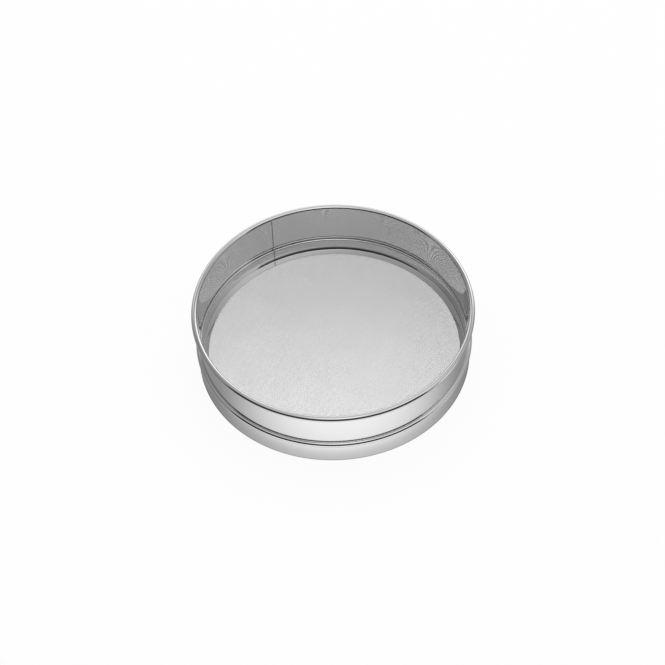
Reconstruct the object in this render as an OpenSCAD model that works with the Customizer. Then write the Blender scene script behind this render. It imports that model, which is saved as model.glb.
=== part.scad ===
// Drum sieve (tamis): a rolled sheet-steel drum with a wired rim and a swaged bead,
// a wire cloth stretched under it, and a hemmed clamp ring that pinches the cloth's
// turned-up edge against the drum. All the pieces are rings about the Z axis.
// The sieve stands on the clamp ring's foot at z = 0, cloth side down.

/* [Drum] */
// Outer diameter over the rolled rim
rim_d = 210; // [180:1:300]
// Height from the foot to the top of the rim
drum_h = 52; // [46:1:75]
// Thickness of the drum's sheet
sheet_t = 0.6; // [0.5:0.05:0.7]
// Outer diameter of the rolled rim's tube
roll_d = 4.4; // [4:0.1:5]
// How far the lower wall is set in from the upper wall
neck_in = 1; // [0.7:0.1:1.1]
// Height of the swaged bead's centre
bead_z = 18.1; // [17:0.1:24]
// Outer radius of the bead's round
bead_r = 2.3; // [2.3:0.1:2.6]
// How far the bead stands out from the upper wall
bead_out = 2.6; // [2.3:0.1:2.6]
// Height of the flange that presses on the cloth
flange_z = 5.1; // [5:0.1:6]
// Width of that flange, from the lower wall inwards
flange_w = 4.4; // [3:0.1:7]
// Inside radius of the bend between the lower wall and the flange
bend_r = 0.8; // [0.6:0.1:1.2]

/* [Cloth] */
// Diameter of the cloth's wires
wire_d = 0.35; // [0.2:0.01:0.4]
// Distance from wire to wire in the cloth, which sets how much of it is open
wire_pitch = 0.85; // [0.7:0.05:1.4]
// Openings across the cloth: a plain grid in place of the fine weave
openings = 12; // [4:1:12]
// Height that the cloth's turned-up edge reaches
cloth_top = 12; // [9:0.5:14]

/* [Clamp ring] */
// Thickness of the clamp ring's sheet
ring_t = 1; // [0.8:0.1:1]
// Height that the folded hem reaches inside
hem_h = 4.5; // [4:0.1:4.5]
// Radius of the foot's two corners
foot_r = 0.5; // [0.3:0.05:0.6]

/* [Seams] */
// Direction of the drum's butt seam, counted from +X
drum_seam_a = 116.5; // [0:0.5:359.5]
// Direction of the clamp ring's butt seam, counted from +X
ring_seam_a = 76; // [0:1:359]
// Width of the seam lines
seam_w = 0.25; // [0.2:0.05:0.4]
// Depth of the seam lines
seam_deep = 0.2; // [0.1:0.05:0.3]

/* [Hidden] */
$fn = 128;

// Rolled rim
rim_r = rim_d / 2;
roll_r = roll_d / 2;
core_r = roll_r - sheet_t;
roll_x = rim_r - roll_r;
roll_z = drum_h - roll_r;
curl_gap = roll_r / 5;

// Walls of the drum
upper_in = rim_r - roll_d;
upper_out = upper_in + sheet_t;
lower_in = upper_in - neck_in;
lower_out = lower_in + sheet_t;
bead_x = upper_out + bead_out - bead_r;

// Heights where the hollow of the bead leaves the lower wall and reaches the upper one
low_join = bead_z - sqrt(pow(bead_r - sheet_t, 2) - pow(lower_out - bead_x, 2));
high_join = bead_z + sqrt(pow(bead_r - sheet_t, 2) - pow(upper_out - bead_x, 2));

// Bend and flange
bend_x = lower_in - bend_r;
bend_z = flange_z + bend_r;
flange_in = lower_in - flange_w;

// Cloth: two wires thick, and folded back double where the clamp ring pinches it
cloth_t = 2 * wire_d;
cloth_z = flange_z - sheet_t - cloth_t;
fold_z = bend_z + sheet_t;

// Grid of openings, as open as the weave, with a plain rim under the flange
open_r = flange_in - cloth_t;
grid_pitch = 2 * open_r / openings;
open_w = grid_pitch * (1 - wire_d / wire_pitch);
cloth_mid = cloth_z + cloth_t / 2;

// Clamp ring: its top edge meets the underside of the bead
ring_in = lower_out + 2 * cloth_t;
ring_out = ring_in + ring_t;
hem_in = ring_in - ring_t;
ring_top = bead_z - sqrt(pow(bead_r, 2) - pow(ring_in - bead_x, 2));

// Quarter of a circle below and outside the centre of the drum's bend
module bend_quarter(r) {
    translate([bend_x, bend_z])
        intersection() {
            circle(r);
            translate([0, -r]) square(r);
        }
}

// Solid outline of the drum's sheet, before its hollow sides are cut
module drum_outline() {
    translate([flange_in, flange_z - sheet_t]) square([bend_x - flange_in, sheet_t]);
    bend_quarter(bend_r + sheet_t);
    translate([lower_in, bend_z]) square([sheet_t, low_join - bend_z]);
    translate([upper_in, high_join]) square([sheet_t, roll_z - high_join]);
    intersection() {
        translate([bead_x, bead_z]) circle(bead_r);
        union() {
            translate([lower_out, bead_z - bead_r]) square([2 * bead_r, bead_r]);
            translate([upper_out, bead_z]) square([2 * bead_r, bead_r]);
        }
    }
    translate([roll_x, roll_z]) circle(roll_r);
}

// Section of the drum: flange, bend, lower wall, bead, upper wall and rolled rim
module drum_section() {
    difference() {
        drum_outline();
        translate([bend_x, bend_z]) circle(bend_r);
        translate([bead_x, bead_z]) circle(bead_r - sheet_t);
        translate([roll_x, roll_z]) circle(core_r);
        translate([upper_out, roll_z - roll_r]) square([curl_gap, roll_r - curl_gap]);
    }
}

// Section of the cloth: flat disc, bend round the drum's edge, and doubled edge
module cloth_section() {
    translate([0, cloth_z]) square([bend_x, cloth_t]);
    difference() {
        bend_quarter(bend_r + sheet_t + cloth_t);
        translate([bend_x, bend_z]) circle(bend_r + sheet_t);
    }
    translate([lower_out, bend_z]) square([cloth_t, cloth_top - bend_z]);
    translate([lower_out, fold_z]) square([2 * cloth_t, cloth_top - fold_z]);
}

// Plan of the cloth's openings: a square grid inside a circle
module cloth_openings() {
    intersection() {
        circle(open_r);
        for (i = [1:openings], j = [1:openings])
            let (at = [(i - 0.5) * grid_pitch - open_r, (j - 0.5) * grid_pitch - open_r])
                if (norm(at) < open_r + open_w / 4)
                    translate(at) square(open_w, center = true);
    }
}

// Section of the clamp ring: wall, folded hem and rounded foot
module ring_section() {
    translate([ring_in, foot_r]) square([ring_t, ring_top - foot_r]);
    translate([hem_in, foot_r]) square([2 * ring_t, hem_h - foot_r]);
    translate([hem_in + foot_r, 0]) square([2 * (ring_t - foot_r), foot_r]);
    translate([hem_in + foot_r, foot_r]) circle(foot_r);
    translate([ring_out - foot_r, foot_r]) circle(foot_r);
}

// Thin upright slab that marks a butt seam, from radius r0 to r1 and from z0 to z1
module seam_slab(a, r0, r1, z0, z1) {
    rotate([0, 0, a])
        translate([r0, -seam_w / 2, z0])
            cube([r1 - r0, seam_w, z1 - z0]);
}

// Rolled sheet drum, with its seam line sunk in the inner face of both walls
module drum_band() {
    color("lightsteelblue")
        difference() {
            rotate_extrude() drum_section();
            seam_slab(drum_seam_a, bend_x, lower_in + seam_deep, bend_z, bead_z - bead_r);
            seam_slab(drum_seam_a, bend_x, upper_in + seam_deep, bead_z + bead_r, roll_z);
        }
}

// Wire hoop inside the rolled rim
module rim_wire() {
    color("dimgray")
        translate([0, 0, roll_z])
            rotate_extrude() translate([roll_x, 0]) circle(core_r);
}

// Woven wire cloth with its turned-up edge, its weave as a plain grid
module mesh_cloth() {
    color("gainsboro")
        difference() {
            rotate_extrude() cloth_section();
            translate([0, 0, cloth_mid])
                linear_extrude(2 * cloth_t, center = true) cloth_openings();
        }
}

// Outer ring that pinches the cloth's edge and is the foot
module clamp_ring() {
    color("silver")
        difference() {
            rotate_extrude() ring_section();
            seam_slab(ring_seam_a, ring_out - seam_deep, ring_out + ring_t, foot_r, ring_top + ring_t);
        }
}

drum_band();
rim_wire();
mesh_cloth();
clamp_ring();
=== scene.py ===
"""Looks for a steel drum sieve (tamis): polished rings turned from sections, and a woven wire cloth."""

import math

import bpy
import numpy as np
from bpy.props import FloatProperty, FloatVectorProperty, IntProperty, PointerProperty
from mathutils import Euler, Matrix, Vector


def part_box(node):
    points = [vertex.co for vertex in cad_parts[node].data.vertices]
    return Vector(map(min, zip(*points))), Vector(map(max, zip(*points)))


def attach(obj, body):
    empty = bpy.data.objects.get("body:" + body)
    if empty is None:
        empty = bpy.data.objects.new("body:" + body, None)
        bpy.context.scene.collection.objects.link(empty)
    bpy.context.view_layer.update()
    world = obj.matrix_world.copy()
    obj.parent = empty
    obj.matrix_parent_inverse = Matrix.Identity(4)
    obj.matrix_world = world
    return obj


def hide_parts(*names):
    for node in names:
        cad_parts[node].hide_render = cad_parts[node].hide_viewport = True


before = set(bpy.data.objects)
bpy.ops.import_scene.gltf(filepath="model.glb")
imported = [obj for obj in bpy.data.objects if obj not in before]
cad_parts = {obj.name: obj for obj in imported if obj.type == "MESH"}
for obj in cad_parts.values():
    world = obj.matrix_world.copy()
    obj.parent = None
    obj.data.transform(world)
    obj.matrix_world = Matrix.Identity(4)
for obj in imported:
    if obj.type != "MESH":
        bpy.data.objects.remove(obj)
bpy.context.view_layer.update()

bl_info = {
    "name": "Drum Sieve",
    "version": (1, 0, 0),
    "blender": (4, 5, 0),
    "location": "View3D > Sidebar > Sieve",
    "description": "Makes a steel drum sieve with a woven wire cloth around its packed solids",
    "category": "Add Mesh",
}

MM = 0.001
FULL_TURN = 2 * math.pi
STAGE_SIZE = 6.0
# The dark open front of the studio that the metal mirrors: its middle, and where it ends to both sides
FRONT = (-0.12, -0.99, 0)
FRONT_EDGE = (0.29, 0.37)
# How high that dark front reaches, as the height of a direction one unit long
FRONT_TOP = (0.7, 0.65)
# The brightest part of the ceiling, over the front, and how far round that direction it spreads
WINDOW = (0, -0.34, 0.94)
WINDOW_EDGE = (0.965, 0.99)
# Where the soft lamp hangs, the spot that it points at, and its width
LAMP_PLACE = (0.1, 0.45, 1.3)
LAMP_AIM = (0, 0, 0.02)
LAMP_SIZE = 0.9

# Measures of the solids, from which the sections follow
DRUM_LOW, DRUM_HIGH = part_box("drum_band")
WIRE_LOW, WIRE_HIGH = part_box("rim_wire")
CLOTH_LOW, CLOTH_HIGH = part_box("mesh_cloth")
RING_LOW, RING_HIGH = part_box("clamp_ring")
RIM_R = min(DRUM_HIGH.x, DRUM_HIGH.y)
ROLL_Z = (WIRE_LOW.z + WIRE_HIGH.z) / 2
CORE_R = (WIRE_HIGH.z - WIRE_LOW.z) / 2
ROLL_R = DRUM_HIGH.z - ROLL_Z
SHEET_T = ROLL_R - CORE_R
UPPER_OUT = RIM_R - 2 * ROLL_R + SHEET_T
CLOTH_T = DRUM_LOW.z - CLOTH_LOW.z
RING_OUT = RING_HIGH.x
RING_IN = CLOTH_HIGH.x
RING_T = RING_OUT - RING_IN
LOWER_OUT = RING_IN - 2 * CLOTH_T


class SieveDrumSettings(bpy.types.PropertyGroup):
    bead_height: FloatProperty(
        name="Bead Height", description="Height of the bead's centre",
        default=18.1 * MM, unit="LENGTH")
    bead_radius: FloatProperty(
        name="Bead Radius", description="Outer radius of the bead's round",
        default=2.3 * MM, unit="LENGTH")
    bead_out: FloatProperty(
        name="Bead Out", description="How far the bead stands out from the upper wall",
        default=2.6 * MM, unit="LENGTH")
    fillet: FloatProperty(
        name="Bead Fillet", description="Outer radius of the bends where the bead leaves the walls",
        default=0.65 * MM, unit="LENGTH")
    flange_width: FloatProperty(
        name="Flange Width", description="Width of the flange over the cloth, from the lower wall",
        default=4.4 * MM, unit="LENGTH")
    bend_radius: FloatProperty(
        name="Bend Radius", description="Inside radius of the bend between wall and flange",
        default=0.5 * MM, unit="LENGTH")
    curl_end: FloatProperty(
        name="Curl End", description="Where the rolled rim's edge ends, counted back under the tube",
        default=math.radians(-132), subtype="ANGLE")
    seam_turn: FloatProperty(
        name="Seam Direction", description="Direction of the drum's butt seam, from +X",
        default=math.radians(116.5), subtype="ANGLE")
    seam_width: FloatProperty(
        name="Seam Width", description="Width of the seam's groove",
        default=0.5 * MM, unit="LENGTH")
    seam_depth: FloatProperty(
        name="Seam Depth", description="Depth of the seam's groove",
        default=0.2 * MM, unit="LENGTH")
    segments: IntProperty(
        name="Segments", description="Segments round each ring", default=500, min=64)


class SieveRingSettings(bpy.types.PropertyGroup):
    foot_round: FloatProperty(
        name="Foot Round", description="Radius of the foot's corners",
        default=0.5 * MM, unit="LENGTH")
    hem_height: FloatProperty(
        name="Hem Height", description="Height that the folded hem reaches inside",
        default=4.5 * MM, unit="LENGTH")
    edge_round: FloatProperty(
        name="Edge Round", description="Radius of the sheet's cut edges",
        default=0.15 * MM, unit="LENGTH")
    seam_turn: FloatProperty(
        name="Seam Direction", description="Direction of the clamp ring's butt seam, from +X",
        default=math.radians(76), subtype="ANGLE")


class SieveClothSettings(bpy.types.PropertyGroup):
    pitch: FloatProperty(
        name="Pitch", description="Distance from wire to wire",
        default=0.85 * MM, unit="LENGTH")
    turn: FloatProperty(
        name="Weave Direction", description="Direction of the warp wires, from +X",
        default=math.radians(4), subtype="ANGLE")
    edge_height: FloatProperty(
        name="Edge Height", description="Height that the turned-up edge reaches",
        default=9.0 * MM, unit="LENGTH")
    sides: IntProperty(
        name="Wire Sides", description="Sides of each wire", default=4, min=3)
    strips: IntProperty(
        name="Strips", description="Pieces that each wire direction is divided into", default=6, min=1)


class SieveFinishSettings(bpy.types.PropertyGroup):
    steel: FloatVectorProperty(
        name="Steel", description="Colour of the polished sheet",
        default=(0.695, 0.695, 0.70), size=3, subtype="COLOR")
    wire: FloatVectorProperty(
        name="Wire", description="Colour of the cloth's wires",
        default=(0.87, 0.87, 0.87), size=3, subtype="COLOR")
    sheet_roughness: FloatProperty(
        name="Sheet Roughness", description="Roughness of the polished sheet",
        default=0.03, min=0.0, max=1.0, subtype="FACTOR")
    wire_roughness: FloatProperty(
        name="Wire Roughness", description="Roughness of the cloth's wires",
        default=0.3, min=0.0, max=1.0, subtype="FACTOR")


class SieveStageSettings(bpy.types.PropertyGroup):
    distance: FloatProperty(
        name="Camera Distance", description="From the foot's centre to the camera",
        default=1.365, unit="LENGTH")
    elevation: FloatProperty(
        name="Camera Elevation", description="Height angle of the camera",
        default=0.88761, subtype="ANGLE")
    pitch: FloatProperty(
        name="Camera Pitch", description="How far the camera looks over the foot's centre",
        default=0.01017, subtype="ANGLE")
    yaw: FloatProperty(
        name="Camera Yaw", description="How far the camera looks past the foot's centre",
        default=0.00071, subtype="ANGLE")
    roll: FloatProperty(
        name="Camera Roll", description="Tilt of the picture",
        default=-0.03615, subtype="ANGLE")
    lens: FloatProperty(
        name="Lens", description="Focal length on a 36 mm wide frame", default=97.06, unit="CAMERA")
    key_power: FloatProperty(
        name="Key Power", description="Power of the soft light high behind the sieve",
        default=5.0, unit="POWER")
    sky: FloatProperty(
        name="Room Light", description="Strength of the even light from all round", default=0.75)


SETTINGS = {
    "sieve_drum": SieveDrumSettings,
    "sieve_ring": SieveRingSettings,
    "sieve_cloth": SieveClothSettings,
    "sieve_finish": SieveFinishSettings,
    "sieve_stage": SieveStageSettings,
}


def arc(cx, cz, r, start, end, step=math.radians(8.5)):
    """Points of an arc in a section, from one angle to another."""
    count = max(2, math.ceil(abs(end - start) / step))
    angles = np.linspace(start, end, count + 1)
    return [(cx + r * math.cos(a), cz + r * math.sin(a)) for a in angles]


def joined(*runs):
    """One outline from several runs of points, without doubled points."""
    points = []
    for run in runs:
        for p in run:
            if not points or math.dist(p, points[-1]) > 0.002 * MM:
                points.append(p)
    return points


def new_piece(name, verts, faces, material, node, smooth=True):
    """A mesh object that rides on the sieve's body and stands for a node."""
    mesh = bpy.data.meshes.new(name)
    mesh.from_pydata(verts, [], faces)
    mesh.materials.append(material)
    if smooth:
        mesh.shade_smooth()
    piece = bpy.data.objects.new(name, mesh)
    bpy.context.scene.collection.objects.link(piece)
    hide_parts(node)
    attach(piece, "root")
    return piece


def lathe(name, section, segments, material, node, seam=None):
    """A ring turned from a closed section. seam is (direction, width, depth, inside, low, high)."""
    turns = list(np.linspace(0, FULL_TURN, segments, endpoint=False))
    middle = None
    if seam:
        direction, width, depth, inside, low, high = seam
        half = width / 2 / RIM_R
        spread = [direction + half * k for k in (-1.2, -1.0, 0.0, 1.0, 1.2)]
        clear = FULL_TURN / segments
        turns = [a for a in turns if abs(a - direction) > clear] + spread
        turns.sort()
        middle = turns.index(direction)
    section = np.array(section)
    rows = []
    for k, a in enumerate(turns):
        r, z = section[:, 0].copy(), section[:, 1]
        if k == middle:
            groove = (z > low) & (z < high) & seam_side(section, inside)
            r[groove] += depth if inside else -depth
        rows.append(np.stack([r * math.cos(a), r * math.sin(a), z], axis=1))
    n, m = len(turns), len(section)
    verts = np.concatenate(rows)
    i, j = np.meshgrid(np.arange(n), np.arange(m), indexing="ij")
    i2, j2 = (i + 1) % n, (j + 1) % m
    faces = np.stack([i * m + j, i2 * m + j, i2 * m + j2, i * m + j2], axis=-1).reshape(-1, 4)
    piece = new_piece(name, verts.tolist(), faces.tolist(), material, node)
    piece.data.set_sharp_from_angle(angle=math.radians(50))
    return piece


def seam_side(section, inside):
    """Which points of a section lie on its inner or its outer face, by the way the outline runs."""
    along = np.roll(section[:, 1], -1) - np.roll(section[:, 1], 1)
    return along < 0 if inside else along > 0


def bead_shape(s):
    """The bead's centre, and for both walls the centre of the bend that leads into it."""
    bead_x = UPPER_OUT + s.bead_out - s.bead_radius
    reach = s.bead_radius + s.fillet
    bends = []
    for wall, side in ((LOWER_OUT, -1), (UPPER_OUT, 1)):
        x = wall + s.fillet
        bends.append((x, s.bead_height + side * math.sqrt(reach ** 2 - (x - bead_x) ** 2)))
    return (bead_x, s.bead_height), bends


def drum_face(s, outer):
    """One face of the drum's sheet, from the flange's edge up to the end of the rolled rim."""
    t = 0 if outer else SHEET_T
    under = DRUM_LOW.z + t
    bend_x = LOWER_OUT - SHEET_T - s.bend_radius
    bend_z = DRUM_LOW.z + SHEET_T + s.bend_radius
    flange_in = LOWER_OUT - SHEET_T - s.flange_width
    (bead_x, bead_z), (low, high) = bead_shape(s)
    to_low = math.atan2(low[1] - bead_z, low[0] - bead_x)
    to_high = math.atan2(high[1] - bead_z, high[0] - bead_x)
    roll_x = RIM_R - ROLL_R
    return joined(
        [(flange_in, under)],
        arc(bend_x, bend_z, s.bend_radius + SHEET_T - t, -math.pi / 2, 0),
        arc(low[0], low[1], s.fillet + t, math.pi, to_low + math.pi),
        arc(bead_x, bead_z, s.bead_radius - t, to_low, to_high),
        arc(high[0], high[1], s.fillet + t, to_high - math.pi, -math.pi),
        arc(roll_x, ROLL_Z, CORE_R + t, math.pi, s.curl_end),
    )


def drum_section(s):
    """Closed section of the drum, up its outer face and down its inner face."""
    outer, inner = drum_face(s, True), drum_face(s, False)
    return outer + inner[::-1]


def ring_section(ring):
    """Closed section of the clamp ring: outer wall, rounded foot, folded hem and top edge."""
    e, f = ring.edge_round, ring.foot_round
    hem_in = RING_IN - RING_T
    top, hem = RING_HIGH.z, ring.hem_height
    quarter = math.pi / 2
    return joined(
        arc(RING_OUT - f, f, f, -quarter, 0),
        arc(RING_OUT - e, top - e, e, 0, quarter, quarter / 4),
        arc(RING_IN + e / 2, top - e / 2, e / 2, quarter, 2 * quarter, quarter / 2),
        [(RING_IN, hem)],
        arc(hem_in + e, hem - e, e, quarter, 2 * quarter, quarter / 4),
        arc(hem_in + f, f, f, 2 * quarter, 3 * quarter),
    )


def fold(flat, lift):
    """Lays flat cloth points in place: flat to the drum's edge, round its bend and up the wall."""
    bend = bpy.context.scene.sieve_drum.bend_radius
    bend_x = LOWER_OUT - SHEET_T - bend
    bend_z = DRUM_LOW.z + SHEET_T + bend
    middle_r = bend + SHEET_T + CLOTH_T / 2
    r = np.hypot(flat[:, 0], flat[:, 1])
    past = np.maximum(r - bend_x, 0)
    turned = np.minimum(past / middle_r, math.pi / 2)
    climb = past - turned * middle_r
    near = middle_r - lift
    radius = np.where(past > 0, bend_x + near * np.sin(turned), r)
    z = bend_z - near * np.cos(turned) + climb
    scale = radius / np.maximum(r, 1e-9)
    return np.stack([flat[:, 0] * scale, flat[:, 1] * scale, z], axis=1)


def wire_mesh(offsets, pitch, across, reach, sides, samples=2):
    """Vertices and faces of parallel woven wires at the given offsets, which pass over and under."""
    verts, faces, base = [], [], 0
    wire_r = CLOTH_T / 4
    spin = np.arange(sides) * FULL_TURN / sides + math.pi / sides
    for k, offset in offsets:
        half = math.sqrt(max(reach ** 2 - offset ** 2, 0))
        last = math.floor(half / pitch * samples)
        if last < 4:
            continue
        along = np.arange(-last, last + 1) * pitch / samples
        wave = wire_r * np.cos(math.pi * along / pitch) * (1 if k % 2 else -1)
        side = np.cos(spin)[None, :] * wire_r
        up = np.sin(spin)[None, :] * wire_r + wave[:, None]
        u = np.repeat(along[:, None], sides, axis=1)
        v = offset + np.repeat(side, len(along), axis=0)
        if across:
            u, v, up = v, u, 2 * np.sin(spin)[None, :] * wire_r - up
        flat = np.stack([u.ravel(), v.ravel()], axis=1)
        verts.append(fold(flat, up.ravel()))
        n = len(along)
        i, j = np.meshgrid(np.arange(n - 1), np.arange(sides), indexing="ij")
        j2 = (j + 1) % sides
        quads = np.stack([i * sides + j, i * sides + j2, (i + 1) * sides + j2, (i + 1) * sides + j], axis=-1)
        quads = quads.reshape(-1, 4) + base
        if across:
            quads = quads[:, ::-1]
        faces.append(quads)
        base += n * sides
    return np.concatenate(verts), np.concatenate(faces)


def grain_group():
    """Fine rolling lines that run round the wall, and soft blotches, as masks and a height."""
    tree = bpy.data.node_groups.new("Rolling Grain", "ShaderNodeTree")
    face = tree.interface
    face.new_socket("Line Scale", in_out="INPUT", socket_type="NodeSocketFloat").default_value = 1.0
    face.new_socket("Height", in_out="OUTPUT", socket_type="NodeSocketFloat")
    face.new_socket("Blotch", in_out="OUTPUT", socket_type="NodeSocketFloat")
    nodes, links = tree.nodes, tree.links
    inlet, outlet = nodes.new("NodeGroupInput"), nodes.new("NodeGroupOutput")
    place = nodes.new("ShaderNodeTexCoord")
    parts = nodes.new("ShaderNodeSeparateXYZ")
    links.new(place.outputs["Object"], parts.inputs[0])
    angle = nodes.new("ShaderNodeMath")
    angle.operation = "ARCTAN2"
    links.new(parts.outputs["Y"], angle.inputs[0])
    links.new(parts.outputs["X"], angle.inputs[1])
    fine = nodes.new("ShaderNodeMath")
    fine.operation = "MULTIPLY"
    fine.inputs[1].default_value = 9000.0
    links.new(parts.outputs["Z"], fine.inputs[0])
    scaled = nodes.new("ShaderNodeMath")
    scaled.operation = "MULTIPLY"
    links.new(fine.outputs[0], scaled.inputs[0])
    links.new(inlet.outputs["Line Scale"], scaled.inputs[1])
    lines = nodes.new("ShaderNodeCombineXYZ")
    links.new(angle.outputs[0], lines.inputs["X"])
    links.new(scaled.outputs[0], lines.inputs["Z"])
    noise = nodes.new("ShaderNodeTexNoise")
    noise.inputs["Scale"].default_value = 1.0
    noise.inputs["Detail"].default_value = 3.0
    links.new(lines.outputs[0], noise.inputs["Vector"])
    links.new(noise.outputs["Fac"], outlet.inputs["Height"])
    blotch = nodes.new("ShaderNodeTexNoise")
    blotch.inputs["Scale"].default_value = 28.0
    blotch.inputs["Detail"].default_value = 2.0
    links.new(place.outputs["Object"], blotch.inputs["Vector"])
    links.new(blotch.outputs["Fac"], outlet.inputs["Blotch"])
    return tree


def seam_group():
    """A mask that is 1 on a thin upright line in one direction from the axis, between two heights."""
    tree = bpy.data.node_groups.new("Seam Line", "ShaderNodeTree")
    face = tree.interface
    face.new_socket("Turn", in_out="INPUT", socket_type="NodeSocketFloat")
    face.new_socket("Half Width", in_out="INPUT", socket_type="NodeSocketFloat")
    face.new_socket("Low", in_out="INPUT", socket_type="NodeSocketFloat")
    face.new_socket("High", in_out="INPUT", socket_type="NodeSocketFloat")
    face.new_socket("Mask", in_out="OUTPUT", socket_type="NodeSocketFloat")
    nodes, links = tree.nodes, tree.links
    inlet, outlet = nodes.new("NodeGroupInput"), nodes.new("NodeGroupOutput")
    place = nodes.new("ShaderNodeTexCoord")
    parts = nodes.new("ShaderNodeSeparateXYZ")
    links.new(place.outputs["Object"], parts.inputs[0])
    angle = nodes.new("ShaderNodeMath")
    angle.operation = "ARCTAN2"
    links.new(parts.outputs["Y"], angle.inputs[0])
    links.new(parts.outputs["X"], angle.inputs[1])
    off = nodes.new("ShaderNodeMath")
    off.operation = "SUBTRACT"
    links.new(angle.outputs[0], off.inputs[0])
    links.new(inlet.outputs["Turn"], off.inputs[1])
    apart = nodes.new("ShaderNodeMath")
    apart.operation = "ABSOLUTE"
    links.new(off.outputs[0], apart.inputs[0])
    line = nodes.new("ShaderNodeMapRange")
    line.interpolation_type = "SMOOTHSTEP"
    line.inputs["From Min"].default_value = 0.0
    links.new(inlet.outputs["Half Width"], line.inputs["From Max"])
    line.inputs["To Min"].default_value = 1.0
    line.inputs["To Max"].default_value = 0.0
    links.new(apart.outputs[0], line.inputs["Value"])
    above = nodes.new("ShaderNodeMath")
    above.operation = "GREATER_THAN"
    links.new(parts.outputs["Z"], above.inputs[0])
    links.new(inlet.outputs["Low"], above.inputs[1])
    below = nodes.new("ShaderNodeMath")
    below.operation = "LESS_THAN"
    links.new(parts.outputs["Z"], below.inputs[0])
    links.new(inlet.outputs["High"], below.inputs[1])
    upright = times(nodes, links, above.outputs[0], below.outputs[0])
    links.new(times(nodes, links, line.outputs["Result"], upright), outlet.inputs["Mask"])
    return tree


def steel_material(name, finish, grain, seam, turn, seam_width, low):
    """Polished stainless sheet with faint rolling lines, uneven shine and a dark weld line at its seam."""
    material = bpy.data.materials.new(name)
    material.use_nodes = True
    nodes, links = material.node_tree.nodes, material.node_tree.links
    steel = nodes["Principled BSDF"]
    steel.inputs["Metallic"].default_value = 1.0
    lines = nodes.new("ShaderNodeGroup")
    lines.node_tree = grain
    lines.inputs["Line Scale"].default_value = 1.0
    shine = nodes.new("ShaderNodeMapRange")
    shine.inputs["To Min"].default_value = finish.sheet_roughness * 0.7
    shine.inputs["To Max"].default_value = finish.sheet_roughness * 1.3
    links.new(lines.outputs["Blotch"], shine.inputs["Value"])
    links.new(shine.outputs["Result"], steel.inputs["Roughness"])
    tone = nodes.new("ShaderNodeMix")
    tone.data_type = "RGBA"
    dark = [c * 0.86 for c in finish.steel]
    tone.inputs["A"].default_value = (*dark, 1)
    tone.inputs["B"].default_value = (*finish.steel, 1)
    links.new(lines.outputs["Height"], tone.inputs["Factor"])
    weld = nodes.new("ShaderNodeGroup")
    weld.node_tree = seam
    weld.inputs["Turn"].default_value = turn
    weld.inputs["Half Width"].default_value = 1.3 * seam_width / RIM_R
    weld.inputs["Low"].default_value = low
    weld.inputs["High"].default_value = ROLL_Z
    welded = nodes.new("ShaderNodeMix")
    welded.data_type = "RGBA"
    welded.inputs["B"].default_value = (*[c * 0.15 for c in finish.steel], 1)
    links.new(weld.outputs["Mask"], welded.inputs["Factor"])
    links.new(tone.outputs["Result"], welded.inputs["A"])
    links.new(welded.outputs["Result"], steel.inputs["Base Color"])
    bump = nodes.new("ShaderNodeBump")
    bump.inputs["Strength"].default_value = 0.06
    bump.inputs["Distance"].default_value = 0.02 * MM
    links.new(lines.outputs["Height"], bump.inputs["Height"])
    links.new(bump.outputs["Normal"], steel.inputs["Normal"])
    return material


def wire_material(finish):
    """Drawn stainless wire, a little duller than the sheet."""
    material = bpy.data.materials.new("cloth_wire_steel")
    material.use_nodes = True
    nodes, links = material.node_tree.nodes, material.node_tree.links
    steel = nodes["Principled BSDF"]
    steel.inputs["Metallic"].default_value = 1.0
    steel.inputs["Roughness"].default_value = finish.wire_roughness
    place = nodes.new("ShaderNodeTexCoord")
    noise = nodes.new("ShaderNodeTexNoise")
    noise.inputs["Scale"].default_value = 40.0
    links.new(place.outputs["Object"], noise.inputs["Vector"])
    tone = nodes.new("ShaderNodeMix")
    tone.data_type = "RGBA"
    dark = [c * 0.9 for c in finish.wire]
    tone.inputs["A"].default_value = (*dark, 1)
    tone.inputs["B"].default_value = (*finish.wire, 1)
    links.new(noise.outputs["Fac"], tone.inputs["Factor"])
    links.new(tone.outputs["Result"], steel.inputs["Base Color"])
    return material


def shared(name, make, *values):
    """A material or node group by name, made on its first use."""
    store = bpy.data.node_groups if name in ("Rolling Grain", "Seam Line") else bpy.data.materials
    return store.get(name) or make(*values)


def sheet_steel(context, name, turn, low):
    """The polished sheet of the drum or the clamp ring, with its seam in its own direction."""
    grain = shared("Rolling Grain", grain_group)
    seam = shared("Seam Line", seam_group)
    width = context.scene.sieve_drum.seam_width
    return shared(name, steel_material, name, context.scene.sieve_finish, grain, seam, turn, width, low)


class SIEVE_OT_drum(bpy.types.Operator):
    """Turn the drum from its section and finish the wire in its rim"""
    bl_idname = "sieve.drum"
    bl_label = "Drum"

    def execute(self, context):
        s = context.scene.sieve_drum
        steel = sheet_steel(context, "drum_steel", s.seam_turn, DRUM_LOW.z + 1.5 * SHEET_T)
        seam = (s.seam_turn, s.seam_width, s.seam_depth, True, DRUM_LOW.z + 2 * MM, ROLL_Z)
        lathe("drum_sheet", drum_section(s), s.segments, steel, "drum_band", seam)
        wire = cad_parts["rim_wire"]
        wire.data.materials.clear()
        wire.data.materials.append(steel)
        return {"FINISHED"}


class SIEVE_OT_clamp_ring(bpy.types.Operator):
    """Turn the clamp ring from its section"""
    bl_idname = "sieve.clamp_ring"
    bl_label = "Clamp Ring"

    def execute(self, context):
        s, ring = context.scene.sieve_drum, context.scene.sieve_ring
        seam = (ring.seam_turn, s.seam_width, s.seam_depth, False, ring.foot_round, RING_HIGH.z)
        steel = sheet_steel(context, "ring_steel", ring.seam_turn, ring.foot_round)
        lathe("clamp_ring_sheet", ring_section(ring), s.segments, steel, "clamp_ring", seam)
        return {"FINISHED"}


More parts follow.
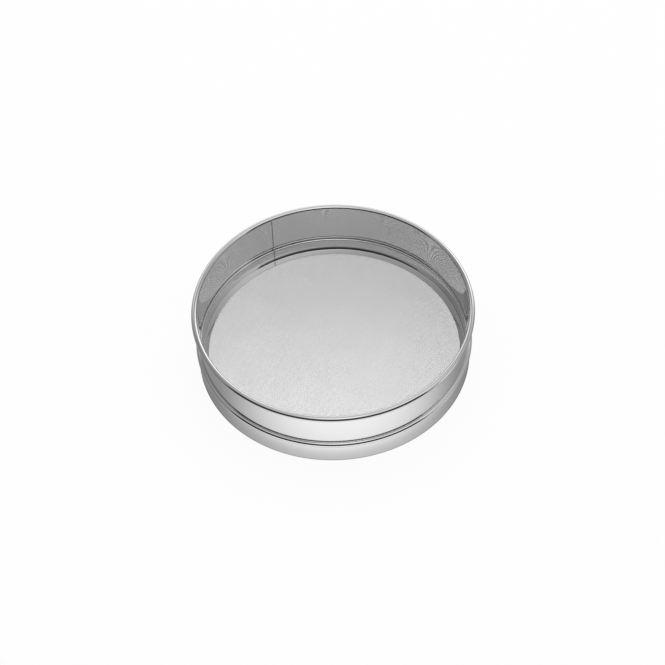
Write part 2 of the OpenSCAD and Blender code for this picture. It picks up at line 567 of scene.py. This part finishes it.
class SIEVE_OT_cloth(bpy.types.Operator):
    """Weave the wire cloth and turn its edge up round the drum"""
    bl_idname = "sieve.cloth"
    bl_label = "Wire Cloth"

    def execute(self, context):
        cloth, drum = context.scene.sieve_cloth, context.scene.sieve_drum
        material = shared("cloth_wire_steel", wire_material, context.scene.sieve_finish)
        bend_x = LOWER_OUT - SHEET_T - drum.bend_radius
        middle_r = drum.bend_radius + SHEET_T + CLOTH_T / 2
        bend_z = DRUM_LOW.z + SHEET_T + drum.bend_radius
        reach = bend_x + middle_r * math.pi / 2 + cloth.edge_height - bend_z
        count = math.floor(reach / cloth.pitch)
        numbers = np.arange(-count, count + 1)
        for name, across in (("warp_wires", False), ("weft_wires", True)):
            for part, chunk in enumerate(np.array_split(numbers, cloth.strips)):
                offsets = [(int(k), float(k) * cloth.pitch) for k in chunk]
                verts, faces = wire_mesh(offsets, cloth.pitch, across, reach, cloth.sides)
                c, s = math.cos(cloth.turn), math.sin(cloth.turn)
                spun = np.stack([verts[:, 0] * c - verts[:, 1] * s,
                                 verts[:, 0] * s + verts[:, 1] * c, verts[:, 2]], axis=1)
                new_piece(f"{name}_{part + 1}", spun.tolist(), faces.tolist(), material,
                          "mesh_cloth")
        return {"FINISHED"}


def ray_mix(nodes, links, kinds):
    """A value that is 1 for any of the named kinds of ray."""
    path = nodes.new("ShaderNodeLightPath")
    total = None
    for kind in kinds:
        socket = path.outputs[kind]
        if total is None:
            total = socket
            continue
        most = nodes.new("ShaderNodeMath")
        most.operation = "MAXIMUM"
        links.new(total, most.inputs[0])
        links.new(socket, most.inputs[1])
        total = most.outputs[0]
    return total


def floor_material():
    """Pale matt floor, white to the camera. Metal sees painted light and shade on it: bright near the sieve
    and dark further off, with a painted contact shadow at the foot and painted light under the sieve.
    """
    material = bpy.data.materials.new("stage_floor")
    material.use_nodes = True
    nodes, links = material.node_tree.nodes, material.node_tree.links
    nodes.clear()
    out = nodes.new("ShaderNodeOutputMaterial")
    matt = nodes.new("ShaderNodeBsdfDiffuse")
    matt.inputs["Color"].default_value = (0.9, 0.9, 0.9, 1)
    glow = nodes.new("ShaderNodeEmission")
    glow.inputs["Color"].default_value = (1, 1, 1, 1)
    place = nodes.new("ShaderNodeTexCoord").outputs["Object"]
    # Painted shade for the metal to mirror: the floor brighter in front of the sieve, darker behind it and
    # far off in front.
    depth = along(nodes, links, place, (-0.06, 1, 0))
    near = ramp(nodes, links, depth, -0.15, -0.03, 1.45, 0.38)
    off_centre = flat_length(nodes, links, place)
    under = ramp(nodes, links, off_centre, RING_OUT, 0.95 * RING_OUT)
    # Painted light and shade under the sieve: bright at the front, dimmer at the back.
    painted_light_under_sieve = ramp(nodes, links, depth, -0.09, 0.09, 1.8, 0.75)
    away = ramp(nodes, links, off_centre, 0.165, 0.185)
    front = ramp(nodes, links, along(nodes, links, flat_direction(nodes, links, place), FRONT), *FRONT_EDGE)
    shade = times(nodes, links, near, ramp(nodes, links, times(nodes, links, away, front), 0, 1, 1.0, 0.08))
    # Painted contact shadow at the ring's foot, and painted shade close round the ring.
    painted_contact_shadow = ramp(nodes, links, off_centre, RING_OUT, RING_OUT + 0.9 * MM, 0.2, 1.0)
    painted_shade_by_ring = ramp(nodes, links, off_centre, RING_OUT, RING_OUT + 20 * MM, 0.75, 1.0)
    outside = times(nodes, links, shade, times(nodes, links, painted_contact_shadow, painted_shade_by_ring))
    shade = between(nodes, links, under, outside, painted_light_under_sieve)
    # Only glossy rays see the painted shade; camera rays see the floor evenly white.
    mirrored = ray_mix(nodes, links, ("Is Glossy Ray",))
    level = nodes.new("ShaderNodeMix")
    level.inputs["A"].default_value = 1.0
    links.new(mirrored, level.inputs["Factor"])
    links.new(shade, level.inputs["B"])
    links.new(level.outputs["Result"], glow.inputs["Strength"])
    mix = nodes.new("ShaderNodeMixShader")
    share = nodes.new("ShaderNodeMath")
    share.operation = "MULTIPLY"
    share.inputs[1].default_value = 0.94
    seen = ray_mix(nodes, links, ("Is Camera Ray", "Is Glossy Ray", "Is Transmission Ray"))
    links.new(seen, share.inputs[0])
    links.new(share.outputs[0], mix.inputs["Fac"])
    links.new(matt.outputs[0], mix.inputs[1])
    links.new(glow.outputs[0], mix.inputs[2])
    links.new(mix.outputs[0], out.inputs["Surface"])
    return material


def flat_length(nodes, links, vector):
    """How long a vector is in plan."""
    flat = nodes.new("ShaderNodeVectorMath")
    flat.operation = "MULTIPLY"
    links.new(vector, flat.inputs[0])
    flat.inputs[1].default_value = (1, 1, 0)
    length = nodes.new("ShaderNodeVectorMath")
    length.operation = "LENGTH"
    links.new(flat.outputs["Vector"], length.inputs[0])
    return length.outputs["Value"]


def flat_direction(nodes, links, vector):
    """The direction of a vector in plan, one unit long."""
    flat = nodes.new("ShaderNodeVectorMath")
    flat.operation = "MULTIPLY"
    links.new(vector, flat.inputs[0])
    flat.inputs[1].default_value = (1, 1, 0)
    unit = nodes.new("ShaderNodeVectorMath")
    unit.operation = "NORMALIZE"
    links.new(flat.outputs["Vector"], unit.inputs[0])
    return unit.outputs["Vector"]


def ramp(nodes, links, value, start, end, low=0.0, high=1.0):
    """A smooth step between two levels of a value."""
    step = nodes.new("ShaderNodeMapRange")
    step.interpolation_type = "SMOOTHSTEP"
    step.inputs["From Min"].default_value = start
    step.inputs["From Max"].default_value = end
    step.inputs["To Min"].default_value = low
    step.inputs["To Max"].default_value = high
    links.new(value, step.inputs["Value"])
    return step.outputs["Result"]


def between(nodes, links, factor, first, second):
    """A value that goes from the first to the second with a factor."""
    mix = nodes.new("ShaderNodeMix")
    links.new(factor, mix.inputs["Factor"])
    links.new(first, mix.inputs["A"])
    links.new(second, mix.inputs["B"])
    return mix.outputs["Result"]


def times(nodes, links, first, second):
    """The product of two values."""
    product = nodes.new("ShaderNodeMath")
    product.operation = "MULTIPLY"
    links.new(first, product.inputs[0])
    links.new(second, product.inputs[1])
    return product.outputs[0]


def along(nodes, links, vector, direction):
    """How far a vector reaches in a direction."""
    dot = nodes.new("ShaderNodeVectorMath")
    dot.operation = "DOT_PRODUCT"
    links.new(vector, dot.inputs[0])
    dot.inputs[1].default_value = direction
    return dot.outputs["Value"]


def room_light(world, strength):
    """Even light from all round; metal sees a studio with a bright top and a dark open front."""
    world.use_nodes = True
    nodes, links = world.node_tree.nodes, world.node_tree.links
    nodes.clear()
    out = nodes.new("ShaderNodeOutputWorld")
    even = nodes.new("ShaderNodeBackground")
    even.inputs["Color"].default_value = (1, 1, 1, 1)
    even.inputs["Strength"].default_value = strength
    white = nodes.new("ShaderNodeBackground")
    white.inputs["Color"].default_value = (1, 1, 1, 1)
    studio = nodes.new("ShaderNodeBackground")
    place = nodes.new("ShaderNodeTexCoord").outputs["Generated"]
    height = along(nodes, links, place, (0, 0, 1))
    forward = along(nodes, links, flat_direction(nodes, links, place), FRONT)
    open_front = times(nodes, links, ramp(nodes, links, forward, *FRONT_EDGE),
                       ramp(nodes, links, height, *FRONT_TOP))
    overhead = along(nodes, links, place, (0, -0.4, 1))
    side = ramp(nodes, links, along(nodes, links, place, (1, 0, 0)), -0.9, 0.9, 0.55, 1.05)
    ceiling = times(nodes, links, ramp(nodes, links, overhead, 0.5, 0.9, 0.8, 1.6), side)
    straight_back = along(nodes, links, flat_direction(nodes, links, place), (0, 1, 0))
    low_back = times(nodes, links, ramp(nodes, links, straight_back, 0.5, 0.95),
                     ramp(nodes, links, height, 0.74, 0.64))
    window = ramp(nodes, links, along(nodes, links, place, WINDOW), *WINDOW_EDGE, 1.0, 1.7)
    bright = times(nodes, links, ceiling, window)
    panels = times(nodes, links, bright, ramp(nodes, links, low_back, 0, 1, 0.85, 2.6))
    keep = ramp(nodes, links, open_front, 0, 1, 1.0, 0.06)
    links.new(times(nodes, links, panels, keep), studio.inputs["Strength"])
    metal = nodes.new("ShaderNodeMixShader")
    links.new(ray_mix(nodes, links, ("Is Glossy Ray",)), metal.inputs["Fac"])
    links.new(even.outputs[0], metal.inputs[1])
    links.new(studio.outputs[0], metal.inputs[2])
    seen = nodes.new("ShaderNodeMixShader")
    links.new(ray_mix(nodes, links, ("Is Camera Ray",)), seen.inputs["Fac"])
    links.new(metal.outputs[0], seen.inputs[1])
    links.new(white.outputs[0], seen.inputs[2])
    links.new(seen.outputs[0], out.inputs["Surface"])


def area_light(name, place, aim, size, power):
    """A soft square lamp that points at a spot and leaves no spot of its own in the metal."""
    lamp = bpy.data.lights.new(name, "AREA")
    lamp.size = size
    lamp.energy = power
    holder = bpy.data.objects.new(name, lamp)
    holder.location = place
    holder.rotation_euler = (Vector(aim) - Vector(place)).to_track_quat("-Z", "Y").to_euler()
    holder.visible_glossy = False
    bpy.context.scene.collection.objects.link(holder)
    return holder


class SIEVE_OT_stage(bpy.types.Operator):
    """Set up the floor, the lights and the camera"""
    bl_idname = "sieve.stage"
    bl_label = "Stage"

    def execute(self, context):
        s, scene = context.scene.sieve_stage, context.scene
        half = STAGE_SIZE / 2
        mesh = bpy.data.meshes.new("stage_floor")
        corners = [(-half, -half, 0), (half, -half, 0), (half, half, 0), (-half, half, 0)]
        mesh.from_pydata(corners, [], [(0, 1, 2, 3)])
        mesh.materials.append(floor_material())
        floor = bpy.data.objects.new("stage_floor", mesh)
        scene.collection.objects.link(floor)
        world = bpy.data.worlds.new("studio")
        scene.world = world
        room_light(world, s.sky)
        area_light("soft_key", LAMP_PLACE, LAMP_AIM, LAMP_SIZE, s.key_power)
        lens = bpy.data.cameras.new("camera")
        lens.lens = s.lens
        lens.sensor_width = 36.0
        camera = bpy.data.objects.new("camera", lens)
        e = s.elevation
        place = Vector((0, -math.cos(e), math.sin(e))) * s.distance
        look = (-place).to_track_quat("-Z", "Y")
        own = Euler((s.pitch, s.yaw, 0)).to_quaternion() @ Euler((0, 0, s.roll)).to_quaternion()
        camera.rotation_mode = "QUATERNION"
        camera.location = place
        camera.rotation_quaternion = look @ own
        scene.collection.objects.link(camera)
        scene.camera = camera
        scene.view_settings.view_transform = "Standard"
        return {"FINISHED"}


class SIEVE_PT_panel(bpy.types.Panel):
    """Lists the sieve's settings and pieces"""
    bl_idname = "SIEVE_PT_panel"
    bl_label = "Drum Sieve"
    bl_space_type = "VIEW_3D"
    bl_region_type = "UI"
    bl_category = "Sieve"

    def draw(self, context):
        for name, group in SETTINGS.items():
            box = self.layout.box()
            for key in group.__annotations__:
                box.prop(getattr(context.scene, name), key)
        for operator in OPERATORS:
            self.layout.operator(operator.bl_idname)


OPERATORS = (SIEVE_OT_stage, SIEVE_OT_drum, SIEVE_OT_clamp_ring, SIEVE_OT_cloth)
CLASSES = (*SETTINGS.values(), *OPERATORS, SIEVE_PT_panel)


def register():
    """Registers the classes and the scene's settings."""
    for cls in CLASSES:
        bpy.utils.register_class(cls)
    for name, group in SETTINGS.items():
        setattr(bpy.types.Scene, name, PointerProperty(type=group))


def unregister():
    """Takes the settings and the classes away again."""
    for name in SETTINGS:
        delattr(bpy.types.Scene, name)
    for cls in reversed(CLASSES):
        bpy.utils.unregister_class(cls)


def main():
    """Makes the sieve and its stage."""
    register()
    bpy.ops.sieve.stage()
    bpy.ops.sieve.drum()
    bpy.ops.sieve.clamp_ring()
    bpy.ops.sieve.cloth()


if __name__ == "__main__":
    main()
